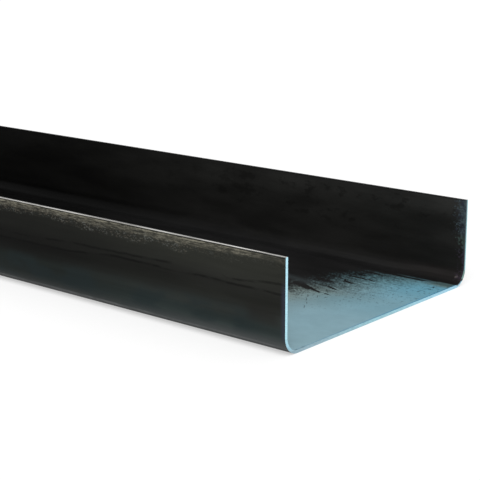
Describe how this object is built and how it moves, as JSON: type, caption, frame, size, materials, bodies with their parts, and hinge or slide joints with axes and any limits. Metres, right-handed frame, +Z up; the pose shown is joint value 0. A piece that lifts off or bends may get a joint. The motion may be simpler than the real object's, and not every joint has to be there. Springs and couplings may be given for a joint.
{
  "type": "c channel",
  "caption": "Straight length of plain cold-formed steel channel: a wide flat web, an upright flange along each side, rounded bends and square-cut ends, in black mill scale.",
  "frame": {"origin": "middle of the web's underside: halfway along the length and halfway across the web, at the level that the channel lies on", "axes": "+X along the length towards the cut end that the picture shows, +Y across the web towards the flange that is farther away in the picture, +Z up, the way the flanges stand"},
  "size_m": [2, 0.2, 0.06],
  "materials": {
    "mill_scale_steel": "hot-rolled mill scale, smooth and slightly oily, with bare sheared edges and saw-cut ends"
  },
  "bodies": {
    "root": {"channel": "mill_scale_steel"}
  },
  "joints": []
}
